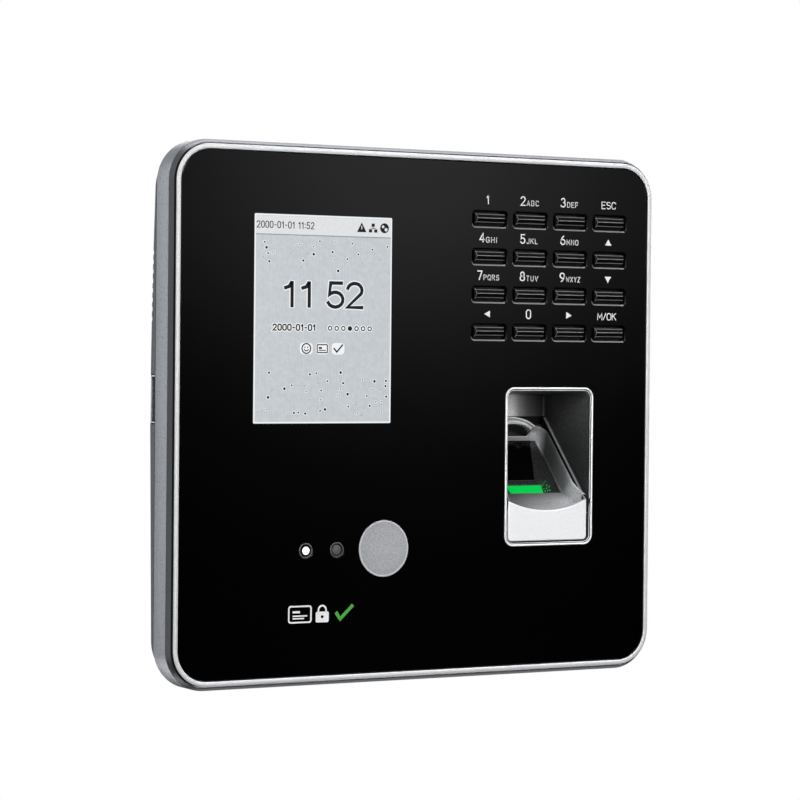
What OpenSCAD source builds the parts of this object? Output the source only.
// Wall-mounted fingerprint and keypad terminal on its steel wall bracket.
// Units are millimetres. The origin is on the wall plane, behind the middle of
// the front panel. X runs to the right seen from the front, Z is up, and the
// front of the terminal faces -Y, so a place D deep from the panel face is at
// y = D - face_d.

/* [Housing] */
// Width of the front housing
body_w = 158; // [156:0.5:161]
// Height of the front housing
body_h = 150.5; // [149:0.5:153]
// Corner radius of the front housing
corner_r = 11.55; // [11.2:0.05:12]
// Distance from the wall to the face of the front panel
face_d = 31.7; // [31.5:0.1:33]
// Depth of the front housing, from the panel face to the parting line
housing_depth = 9.7; // [9.5:0.1:9.9]
// Width of the front chamfer, measured across the face
chamfer_w = 1.1; // [0.6:0.1:1.3]
// Depth of the front chamfer, measured along the side
chamfer_d = 1.8; // [1:0.1:2]
// Wall thickness of the housing and of the rear cover
wall_t = 2.2; // [2:0.1:2.4]

/* [Trim ring and panel] */
// Width of the bright trim ring
ring_w = 1.4; // [1:0.1:1.5]
// Gap between trim ring and housing
ring_gap = 0.35; // [0.2:0.05:0.4]
// Width of the dark panel area inside the ring
panel_w = 152.6; // [152:0.1:152.8]
// Height of the dark panel area inside the ring
panel_h = 145.1; // [144.5:0.1:145.3]
// Corner radius of the dark panel area
panel_r = 8.85; // [8.5:0.05:9]
// Thickness of the front panel
panel_t = 2; // [1.8:0.1:2]

/* [Display] */
// Width of the lit display area
display_w = 43.2; // [42:0.1:44]
// Height of the lit display area
display_h = 57.6; // [56:0.1:58.5]
// Display centre to the left of the panel centre
display_x = -32.25; // [-33:0.05:-31.5]
// Display centre above the panel centre
display_z = 26.6; // [26:0.1:27.4]

/* [Keypad] */
// Width of a key cap
key_w = 10.4; // [9.8:0.1:10.8]
// Height of a key cap
key_h = 3.2; // [2.8:0.1:3.8]
// Width of a key well in the panel
well_w = 11.3; // [11.2:0.1:11.6]
// Height of a key well in the panel
well_h = 4.3; // [4.2:0.1:4.6]
// Key pitch across
key_pitch_x = 13.75; // [13.6:0.05:13.9]
// Key pitch down
key_pitch_z = 10.8; // [10.6:0.1:11]
// Key travel
key_travel = 1; // [0.5:0.1:1]

/* [Fingerprint reader] */
// Reader centre to the right of the panel centre
fp_x = 42.5; // [42:0.1:43]
// Reader centre below the panel centre
fp_z = -15.1; // [-15.6:0.1:-14.8]
// Outer width of the bright reader bezel
fp_w = 30.25; // [30:0.05:30.5]
// Outer height of the bright reader bezel
fp_h = 46; // [45.5:0.1:46.5]
// Depth of the reader tub
fp_depth = 23; // [22.5:0.1:23.2]
// Slope of the finger guide from upright
fp_slope = 41.1; // [40:0.1:42]

/* [Camera and light] */
// Radius of the fill light diffuser
light_r = 8; // [7.5:0.1:8.5]
// Radius of each small round window
window_r = 2.25; // [2:0.05:2.5]

/* [Wall bracket] */
// Width of the bracket plate
bracket_w = 102; // [98:1:104]
// Height of the bracket plate
bracket_h = 88; // [86:1:90]
// Thickness of the bracket steel
bracket_t = 1.2; // [1:0.1:1.2]
// Screw hole spacing across
hole_dx = 86; // [84:1:88]
// Screw hole spacing up and down
hole_dz = 74; // [72:1:76]
// Radius of each wall screw hole
hole_r = 2.25; // [2:0.05:2.5]
// Lift needed to unhook the terminal
lift = 6; // [5.5:0.5:6]

/* [Hidden] */

ring_out_w = panel_w + 2 * ring_w;
ring_out_h = panel_h + 2 * ring_w;
ring_out_r = panel_r + ring_w;
pocket_w = ring_out_w + 2 * ring_gap;
pocket_h = ring_out_h + 2 * ring_gap;
pocket_r = ring_out_r + ring_gap;
deck_back = panel_t + 2;          // back of the deck that carries the panel
key_x0 = 21.65;                   // first key column
key_z0 = 56.15;                   // first key row
led_x = -37.15;                   // indicator window
cam_x = -27.36;                   // camera window
low_z = -37.6;                    // height of both windows and of the diffuser
light_x = -12.39;
lcd_z = display_z - 2;            // centre of the display module
cover_w = body_w - 0.4;
cover_h = body_h - 0.4;
cover_rc = 12.5;                  // corner radius of the rear cover
cover_re = 11.7;                  // round of its rear edge
cover_y0 = housing_depth + 0.6;   // depth at which the round shell starts
cover_th = 12;                    // from there to the flat back
ped_w = 126;                      // raised pad on the back
ped_h = 110;
ped_y = face_d - 1.4;             // depth of its rim
floor_y = face_d - 3.7;           // outer face of its recessed floor
floor_t = 1.8;
post_x = 69.5;                    // corner screws of the housing
post_z = 67.5;
posts = [[-post_x, post_z], [0, post_z], [post_x, post_z],
         [-post_x, -post_z], [0, -post_z], [post_x, -post_z]];
board_x = -32;                    // main board centre, its posts follow it
board_posts = [[-66.5, 46], [2.5, 45.5], [-66.5, -45.5], [2.5, -45.5]];
pad_posts = [[12.6, 19], [12.6, 61.2], [71.8, 19], [71.8, 61.2]];
hook_x = 21;
hook_z = 26;
bay = [-22, -28, 46, 24];         // cable bay: centre x, centre z, width, height
tamper_xz = [-44, 4];
reset_xz = [-54, -24];
usb_z = 4.2;
usb_y = 13.65;
ivory = [0.93, 0.92, 0.88];
pcb = [0.05, 0.3, 0.16];

// rounded rectangle in the plane, exact arcs
module rrect(w, h, r) {
  square([w - 2 * r, h], center = true);
  square([w, h - 2 * r], center = true);
  for (sx = [-1, 1], sy = [-1, 1])
    translate([sx * (w / 2 - r), sy * (h / 2 - r)]) circle(r = r, $fn = 64);
}
// extrudes an X-Z outline from depth d0 to depth d1
module slice(d0, d1) {
  translate([0, d1 - face_d, 0]) rotate([90, 0, 0]) linear_extrude(d1 - d0) children();
}
// a box from its low and high corner, with the middle value a depth
module block(x0, x1, d0, d1, z0, z1) {
  translate([x0, d0 - face_d, z0]) cube([x1 - x0, d1 - d0, z1 - z0]);
}
// a rod along Y at x, z
module rod(x, z, r, d0, d1) {
  translate([x, d1 - face_d, z]) rotate([90, 0, 0]) cylinder(r = r, h = d1 - d0, $fn = 48);
}
// mirrored edge profile with a filled middle
module sym(d, th) {
  translate([-d, 0]) square([2 * d, th]);
  translate([d, 0]) children();
  mirror([1, 0, 0]) translate([d, 0]) children();
}
// rounded rectangular slab whose edge follows the child profile
module slab(w, h, rc, th) {
  for (sx = [-1, 1], sz = [-1, 1])
    translate([sx * (w / 2 - rc), 0, sz * (h / 2 - rc)])
      rotate([-90, 0, 0]) rotate_extrude($fn = 96) children();
  linear_extrude(h - 2 * rc, center = true) sym(w / 2 - rc, th) children();
  rotate([0, -90, 0]) linear_extrude(w - 2 * rc, center = true) sym(h / 2 - rc, th) children();
}
module round_edge(rc, re, e0, th) {
  intersection() {
    union() {
      square([rc, e0]);
      square([rc - re, th]);
      translate([rc - re, e0]) circle(r = re, $fn = 96);
    }
    square([rc, th]);
  }
}
module domed(w, h, rc, re, e0, th) {
  slab(w, h, rc, th) round_edge(rc, re, e0, th);
}
module chamfer_edge(rc, c, cd, th) {
  polygon([[0, 0], [rc, 0], [rc, th - cd], [rc - c, th], [0, th]]);
}
// pan head screw pointing to the front, head from depth d on, with a cross recess
module screw(x, z, d, r, hr, hh, len) {
  difference() {
    union() {
      rod(x, z, r, d - len, d);
      rod(x, z, hr, d, d + hh);
    }
    block(x - hr * 0.55, x + hr * 0.55, d + hh * 0.45, d + hh + 0.1, z - hr * 0.12, z + hr * 0.12);
    block(x - hr * 0.12, x + hr * 0.12, d + hh * 0.45, d + hh + 0.1, z - hr * 0.55, z + hr * 0.55);
  }
}
// frame that lies on the finger guide's slope: child's Z is up the slope and
// its -Y stands off the slope
module on_slope() {
  translate([fp_x, 1.05 - face_d, -24.2]) rotate([-fp_slope, 0, 0]) children();
}

// ---------- wall side ----------
module wall_bracket() color([0.72, 0.73, 0.75]) {
  difference() {
    translate([0, 0, 0]) rotate([90, 0, 0]) linear_extrude(bracket_t) rrect(bracket_w, bracket_h, 5);
    for (sx = [-1, 1], sz = [-1, 1])
      translate([sx * hole_dx / 2, 1, sz * hole_dz / 2]) rotate([90, 0, 0]) cylinder(r = hole_r, h = 4, $fn = 48);
    translate([bay[0] + 6, 1, bay[1]]) rotate([90, 0, 0]) linear_extrude(4) rrect(44, 24, 4);
    for (sx = [-1, 1]) translate([sx * hook_x, 1, hook_z + 6]) rotate([90, 0, 0]) linear_extrude(4) rrect(12.6, 8.4, 1);
  }
  for (sx = [-1, 1]) {
    translate([sx * hook_x - 6, -7, hook_z - bracket_t / 2]) cube([12, 7 - bracket_t + 0.4, bracket_t]);
    translate([sx * hook_x - 6, -7, hook_z - bracket_t / 2]) cube([12, bracket_t, 5.6]);
  }
  difference() {
    union() {
      translate([-9, -bracket_t, -58.7]) cube([18, bracket_t, 58.7 - bracket_h / 2 + 1]);
      translate([-9, -9.1, -58.7]) cube([18, 9.1, bracket_t]);
    }
    translate([0, -5.6, -60]) cylinder(r = 1.7, h = 4, $fn = 48);
  }
}
module lock_screw() color([0.6, 0.6, 0.62]) difference() {
  union() {
    translate([0, -5.6, -58.8]) cylinder(r = 1.5, h = 10, $fn = 48);
    translate([0, -5.6, -60.9]) cylinder(r = 2.8, h = 2.15, $fn = 48);
  }
  translate([0, -5.6, -61]) cylinder(r = 1.3, h = 1.3, $fn = 6);
}

// ---------- casings ----------
module front_housing() color([0.56, 0.58, 0.61]) {
  difference() {
    union() {
      difference() {
        translate([0, housing_depth - face_d, 0]) mirror([0, 1, 0])
          slab(body_w, body_h, corner_r, housing_depth - 0.2)
            chamfer_edge(corner_r, chamfer_w, chamfer_d, housing_depth - 0.2);
        slice(-1, panel_t) rrect(pocket_w, pocket_h, pocket_r);
        slice(deck_back, 12) rrect(body_w - 2 * wall_t, body_h - 2 * wall_t, corner_r - wall_t);
      }
      for (p = posts) rod(p[0], p[1], 3.6, deck_back - 0.5, 12);
      for (p = board_posts) rod(p[0], p[1], 2.6, deck_back - 0.5, 16.5);
      for (p = pad_posts) rod(p[0], p[1], 1.8, deck_back - 0.5, 6.4);
    }
    for (p = posts) rod(p[0], p[1], 1.25, 5, 13);
    for (p = board_posts) rod(p[0], p[1], 1.05, 8, 17);
    for (p = pad_posts) rod(p[0], p[1], 0.8, 2.8, 7);
    translate([display_x, 0, lcd_z]) slice(1, 5) rrect(51, 70.6, 0.8);
    block(14.7, 69.9, 1, 5, 20.3, 59.6);
    translate([fp_x, 0, fp_z]) slice(1, 5) rrect(fp_w + 0.2, fp_h + 0.2, 3);
    rod(light_x, low_z, light_r + 1.8, 1, 5);
    rod(led_x, low_z, 3, 1, 5);
    rod(cam_x, low_z, 3.7, 1, 5);
  }
}
module trim_ring() color([0.85, 0.86, 0.87])
  slice(-0.3, panel_t) difference() {
    rrect(ring_out_w, ring_out_h, ring_out_r);
    rrect(panel_w, panel_h, panel_r);
  }
module front_panel() color([0.03, 0.03, 0.035])
  slice(0, panel_t) difference() {
    rrect(panel_w - 0.3, panel_h - 0.3, panel_r - 0.15);
    translate([display_x, display_z]) rrect(display_w + 0.2, display_h + 0.2, 0.4);
    for (c = [0:3], r = [0:3])
      translate([key_x0 + c * key_pitch_x, key_z0 - r * key_pitch_z]) rrect(well_w, well_h, 0.8);
    translate([fp_x, fp_z]) rrect(fp_w + 0.1, fp_h + 0.1, 2.95);
    translate([light_x, low_z]) circle(r = light_r + 0.05, $fn = 96);
    translate([led_x, low_z]) circle(r = window_r, $fn = 48);
    translate([cam_x, low_z]) circle(r = window_r, $fn = 48);
  }
module cover_outer() {
  slice(housing_depth, cover_y0 + 0.1) rrect(cover_w - 1.2, cover_h - 1.2, cover_rc - 0.6);
  translate([0, cover_y0 - face_d, 0]) domed(cover_w, cover_h, cover_rc, cover_re, 0.3, cover_th);
  slice(cover_y0 + cover_th - 1, ped_y) rrect(ped_w, ped_h, 10);
}
module rear_cover() color([0.45, 0.47, 0.49]) difference() {
  union() {
    difference() {
      cover_outer();
      // inside of the shell and of the raised pad
      translate([0, cover_y0 - face_d, 0]) domed(cover_w - 2 * wall_t, cover_h - 2 * wall_t, cover_rc - wall_t, cover_re - wall_t, 0.3, cover_th - wall_t);
      slice(housing_depth - 1, cover_y0 + 0.05) rrect(cover_w - 2 * wall_t, cover_h - 2 * wall_t, cover_rc - wall_t);
      slice(cover_y0 + cover_th - 3, floor_y - floor_t) rrect(ped_w - 2 * wall_t, ped_h - 2 * wall_t, 7.8);
      // recess that clears the bracket's hooks and cable
      slice(floor_y, face_d) rrect(ped_w - 2 * wall_t - 4, ped_h - 2 * wall_t - 4, 6);
    }
    // screw posts
    intersection() {
      for (p = posts) rod(p[0], p[1], 4.6, 12, 24);
      cover_outer();
    }
    // boss that takes the lock screw
    difference() {
      translate([0, -5.6, -ped_h / 2 + 0.5]) cylinder(r = 4.4, h = 9, $fn = 48);
      slice(floor_y + 0.9, face_d + 4) square([20, 140], center = true);
    }
  }
  for (p = posts) {
    rod(p[0], p[1], 1.7, 11, 24);
    rod(p[0], p[1], 3.1, 13.8, 24);
  }
  translate([0, -5.6, -ped_h / 2 - 1]) cylinder(r = 1.6, h = 10, $fn = 48);
  // hook slots, cable bay, tamper and reset holes
  for (sx = [-1, 1]) block(sx * hook_x - 6.6, sx * hook_x + 6.6, floor_y - 3, floor_y + 1, hook_z - bracket_t / 2 - lift - 0.25, hook_z + bracket_t / 2 + 0.05);
  translate([bay[0], 0, bay[1]]) slice(floor_y - 3, floor_y + 1) rrect(bay[2], bay[3], 3);
  rod(tamper_xz[0], tamper_xz[1], 2.6, floor_y - 3, floor_y + 1);
  rod(reset_xz[0], reset_xz[1], 1.5, floor_y - 3, floor_y + 1);
  // socket opening in the left side, and the vent slots above it
  block(-90, -70, usb_y - 3.25, usb_y + 3.25, usb_z - 6.95, usb_z + 6.95);
  for (i = [0:7]) block(-90, -68, 12, 18.6, 25.6 + 2.6 * i, 26.9 + 2.6 * i);
}
module housing_screws() color([0.3, 0.3, 0.32])
  for (p = posts) screw(p[0], p[1], 13.8, 1.2, 2.6, 1.6, 8);

// ---------- display ----------
module display_window() color([0.75, 0.79, 0.84])
  translate([display_x, 0, display_z]) slice(0.05, panel_t) rrect(display_w + 0.1, display_h + 0.1, 0.35);
module lcd_panel() color([0.35, 0.37, 0.4])
  translate([display_x, 0, lcd_z]) slice(panel_t + 0.05, 3.3) rrect(50, 69.6, 0.5);
module lcd_backlight() color([0.8, 0.81, 0.82])
  translate([display_x, 0, lcd_z]) {
    slice(3.3, 5.7) rrect(50.4, 70, 0.8);
    slice(5.7, 5.9) translate([6, -16]) square([18, 30], center = true);
    slice(5.9, 6.8) translate([6, -2]) square([16, 4], center = true);
  }

// ---------- keypad ----------
module key(c, r) color([0.08, 0.08, 0.085])
  translate([key_x0 + c * key_pitch_x, -face_d, key_z0 - r * key_pitch_z]) {
    intersection() {
      rotate([0, -90, 0]) linear_extrude(key_w, center = true)
        polygon([[-key_h / 2, 0.3], [-0.1, -0.5], [0.1, -0.5], [key_h / 2, 0.3], [key_h / 2, 2.1], [-key_h / 2, 2.1]]);
      linear_extrude(key_h, center = true)
        polygon([[-key_w / 2, 0.3], [-key_w / 2 + 0.45, -0.5], [key_w / 2 - 0.45, -0.5], [key_w / 2, 0.3], [key_w / 2, 2.1], [-key_w / 2, 2.1]]);
    }
    translate([-6.2, 2.05, -2.7]) cube([12.4, 0.7, 5.4]);
    translate([-2, 2.7, -1.2]) cube([4, 4.9 - key_travel - 2.7, 2.4]);
  }
module keypad_mat() color([0.55, 0.57, 0.6]) {
  slice(5.4, 6.4) translate([42.3, 39.95]) rrect(54.6, 38.8, 1.5);
  for (c = [0:3], r = [0:3])
    rod(key_x0 + c * key_pitch_x, key_z0 - r * key_pitch_z, 1.9, 4.95, 5.5);
}
module keypad_board() color(pcb) difference() {
  slice(6.4, 8) translate([42.2, 40.1]) rrect(63, 46, 1);
  for (p = pad_posts) rod(p[0], p[1], 1.1, 6, 9);
}
module keypad_screws() color([0.3, 0.3, 0.32])
  for (p = pad_posts) screw(p[0], p[1], 8, 0.75, 1.7, 1, 4.2);

// ---------- fingerprint reader ----------
module fingerprint_bezel() color([0.88, 0.89, 0.9])
  translate([fp_x, 0, fp_z]) slice(-0.35, 0.7) difference() {
    rrect(fp_w, fp_h, 2.9);
    rrect(fp_w - 1.9, fp_h - 1.9, 1.95);
  }
module fingerprint_tub() color([0.2, 0.2, 0.21])
  difference() {
    union() {
      translate([fp_x, 0, fp_z]) slice(0.7, fp_depth + 1.2) rrect(fp_w - 0.1, fp_h - 0.1, 2.8);
      translate([fp_x, 0, fp_z]) slice(deck_back, deck_back + 1.2) rrect(36, 51.6, 3);
    }
    translate([fp_x, 0, fp_z]) slice(0, fp_depth) rrect(fp_w - 1.9, fp_h - 1.9, 1.95);
    // the back is open behind the slope, for the prism and its board
    block(fp_x - 12.5, fp_x + 12.5, 20, 30, -36, -4.5);
  }
module reader_space(g) block(fp_x - 14.15 + g, fp_x + 14.15 - g, 0.9, fp_depth - 0.05, fp_z - 22 + g, fp_z + 22 - g);
module finger_guide() color([0.62, 0.63, 0.65]) difference() {
  intersection() {
    union() {
      on_slope() translate([-14.5, 0, 0]) cube([29, 5.2, 30.1]);
      // lip that leads from the apron up to the platen
      translate([fp_x - 14, -face_d, 0]) rotate([90, 0, 90]) linear_extrude(28)
        polygon([[1.9, -28], [8.4, -23], [8.4, -31], [1.9, -31]]);
    }
    reader_space(0.12);
    union() {
      block(fp_x - 20, fp_x + 20, 0, 30, -24.2, 20);
      block(fp_x - 20, fp_x + 20, 1.9, 30, -60, -24.2);
    }
  }
  // opening over the platen
  on_slope() translate([0, -1, 0]) rotate([-90, 0, 0]) linear_extrude(9)
    translate([0, -15.9]) rrect(18.4, 19.4, 2.5);
}
module fingerprint_apron() color([0.86, 0.87, 0.88])
  slice(0.3, 1.8) difference() {
    translate([fp_x - 13.6, fp_z - 21.6]) square([27.1, 12.6]);
    translate([fp_x - 0.2, 3.6]) circle(r = 31.4, $fn = 128);
  }
module platen_prism() color([0.02, 0.02, 0.025]) intersection() {
  union() {
    on_slope() translate([-10.6, 5.25, 5.6]) cube([21.2, 4.2, 22.4]);
    on_slope() translate([-9.1, 4.6, 9.4]) cube([18.2, 1, 16]);
  }
  block(fp_x - 12, fp_x + 12, 2, fp_depth + 2.4, -30, 0);
  union() {
    reader_space(0.2);
    block(fp_x - 12.3, fp_x + 12.3, 20, 30, -35.8, -4.7);
  }
}
module sensor_light_bar() color([0.05, 0.85, 0.25])
  on_slope() translate([-7, 4.45, 6.4]) cube([14, 0.78, 2.8]);
module sensor_board() color(pcb) {
  block(fp_x - 12, fp_x + 12, 11.5, 24.6, -35.6, -34);
  translate([fp_x, 18.4 - face_d, -34.1]) cylinder(r = 3.2, h = 3.6, $fn = 48);
  block(fp_x - 5, fp_x + 5, 14, 23, -34.1, -32.6);
}

// ---------- camera, indicator and fill light ----------
module light_diffuser() color([0.68, 0.69, 0.7]) {
  rod(light_x, low_z, light_r, 0.03, panel_t + 0.05);
  rod(light_x, low_z, light_r + 1.6, panel_t + 0.03, 3.4);
}
module light_board() color(ivory) {
  slice(5.2, 6.4) translate([light_x, low_z]) rrect(21, 21, 1);
  for (a = [0:5]) translate([4.6 * cos(60 * a), 0, 4.6 * sin(60 * a)])
    block(light_x - 1.4, light_x + 1.4, 4.3, 5.25, low_z - 1.4, low_z + 1.4);
}
module window_bezels() color([0.22, 0.22, 0.23])
  for (x = [led_x, cam_x]) difference() {
    rod(x, low_z, window_r - 0.05, 0.35, 3.2);
    rod(x, low_z, 1.5, 0, 4);
  }
module camera_lens() color([0.3, 0.3, 0.31]) rod(cam_x, low_z, 1.45, 0.7, 3.2);
module indicator_led() color([1, 1, 1]) {
  rod(led_x, low_z, 1.45, 0.6, 3.3);
  rod(led_x, low_z, 2.6, 3.25, 4.4);
}
module camera_module() color([0.1, 0.1, 0.1]) {
  rod(cam_x, low_z, 3.4, 3.25, 6);
  block(cam_x - 4.2, cam_x + 4.2, 5.9, 8.6, low_z - 4.2, low_z + 4.2);
}
module camera_board() color(pcb) {
  block(-43.5, -22.9, 8.6, 9.8, low_z - 6, low_z + 6);
  block(led_x - 2, led_x + 2, 4.4, 8.65, low_z - 2, low_z + 2);
}

// ---------- electronics ----------
module main_board() color(pcb) difference() {
  slice(16.5, 18.1) translate([board_x, 0]) rrect(76, 96, 1.5);
  for (p = board_posts) rod(p[0], p[1], 1.4, 16, 19);
}
module board_screws() color([0.3, 0.3, 0.32])
  for (p = board_posts) screw(p[0], p[1], 18.1, 1, 2.2, 1.3, 7);
module processor_shield() color([0.75, 0.76, 0.78])
  block(-48, -22, 13.4, 16.5, 12, 36);
module board_chips() color([0.06, 0.06, 0.065]) {
  block(-16, -6, 15, 16.5, 20, 30);
  block(-16, -4, 15.2, 16.5, 4, 12);
  block(-44, -34, 15.2, 16.5, -12, -2);
  block(-60, -52, 15.2, 16.5, -30, -22);
  block(-30, -24, 18.1, 19.4, 36, 42);
  block(-58, -48, 18.1, 19.6, 12, 19);
  rod(-2, -10, 3.1, 18.1, 22.6);
  rod(-2, 4, 3.1, 18.1, 22.6);
  rod(-12, 42.5, 2.5, 18.1, 19.9);
}
module door_relay() color([0.1, 0.25, 0.6]) block(-60, -50.5, 18.1, 25.2, -14, 2);
module usb_port() color([0.78, 0.79, 0.8]) {
  difference() {
    block(-77, -63, usb_y - 2.85, 16.5, usb_z - 6.55, usb_z + 6.55);
    block(-78, -64, usb_y - 2.5, usb_y + 2.5, usb_z - 6.2, usb_z + 6.2);
  }
  block(-75.6, -63.6, usb_y - 1.9, usb_y - 0.1, usb_z - 5.6, usb_z + 5.6);
}
module ethernet_jack() color([0.12, 0.12, 0.13]) difference() {
  block(-15.6, 0, 18.1, 27.8, -36, -20);
  block(-13.7, -1.9, 20, 29, -32.5, -22.5);
  block(-10.8, -4.8, 20, 29, -34.6, -32.4);
}
module terminal_blocks() color([0.12, 0.5, 0.25])
  for (k = [0:1], j = [0:1]) difference() {
    block(-43 + 13.4 * k, -43 + 12.6 + 13.4 * k, 18.1, 26.4, -38.6 + 11.4 * j, -31.4 + 11.4 * j);
    for (i = [0:3]) block(-42.2 + 13.4 * k + 3 * i, -40.2 + 13.4 * k + 3 * i, 20.5, 27, -37.6 + 11.4 * j, -34.8 + 11.4 * j);
    for (i = [0:3]) rod(-41.2 + 13.4 * k + 3 * i, -32.9 + 11.4 * j, 0.9, 24.6, 27);
  }
module tamper_switch() color([0.15, 0.15, 0.16])
  block(tamper_xz[0] - 3, tamper_xz[0] + 3, 18.1, 21, tamper_xz[1] - 3, tamper_xz[1] + 3);
module reset_switch() color([0.15, 0.15, 0.16])
  block(reset_xz[0] - 3, reset_xz[0] + 3, 18.1, 20.6, reset_xz[1] - 3, reset_xz[1] + 3);
module clock_cell() color([0.8, 0.8, 0.82]) rod(-30, -4, 6, 18.1, 20.2);
module speaker() color([0.14, 0.14, 0.15]) {
  slice(deck_back, 10.2) translate([-67, 29]) rrect(13.6, 26, 2);
  slice(10.2, 11) translate([-67, 29]) rrect(10, 22, 4.9);
}
module card_antenna() color(pcb) slice(deck_back, deck_back + 0.8) difference() {
  translate([10.4, -7]) rrect(26, 42, 1.5);
  translate([10.4, -7]) rrect(16, 32, 1.5);
}
module bay_gasket() color([0.07, 0.07, 0.07])
  translate([bay[0], 0, bay[1]]) slice(floor_y, floor_y + 0.9) difference() {
    rrect(bay[2] + 4, bay[3] + 4, 5);
    rrect(bay[2], bay[3], 3);
  }
module tamper_plunger() color([0.9, 0.9, 0.88]) {
  rod(tamper_xz[0], tamper_xz[1], 2.2, 24, face_d - bracket_t - 0.15);
  rod(tamper_xz[0], tamper_xz[1], 3.6, 22.6, 24.1);
}
module reset_button() color([0.8, 0.15, 0.12])
  rod(reset_xz[0], reset_xz[1], 1.2, 21.05, floor_y - 0.4);

wall_bracket();
lock_screw();
front_housing();
trim_ring();
front_panel();
rear_cover();
housing_screws();
display_window();
lcd_panel();
lcd_backlight();
keypad_mat();
keypad_board();
keypad_screws();
fingerprint_bezel();
fingerprint_tub();
finger_guide();
fingerprint_apron();
platen_prism();
sensor_light_bar();
sensor_board();
light_diffuser();
light_board();
window_bezels();
camera_module();
camera_lens();
indicator_led();
camera_board();
main_board();
board_screws();
board_chips();
processor_shield();
door_relay();
usb_port();
ethernet_jack();
terminal_blocks();
tamper_switch();
reset_switch();
clock_cell();
speaker();
card_antenna();
bay_gasket();
tamper_plunger();
reset_button();
key(0, 0);  // key_1
key(1, 0);  // key_2
key(2, 0);  // key_3
key(3, 0);  // key_esc
key(0, 1);  // key_4
key(1, 1);  // key_5
key(2, 1);  // key_6
key(3, 1);  // key_up
key(0, 2);  // key_7
key(1, 2);  // key_8
key(2, 2);  // key_9
key(3, 2);  // key_down
key(0, 3);  // key_left
key(1, 3);  // key_0
key(2, 3);  // key_right
key(3, 3);  // key_ok
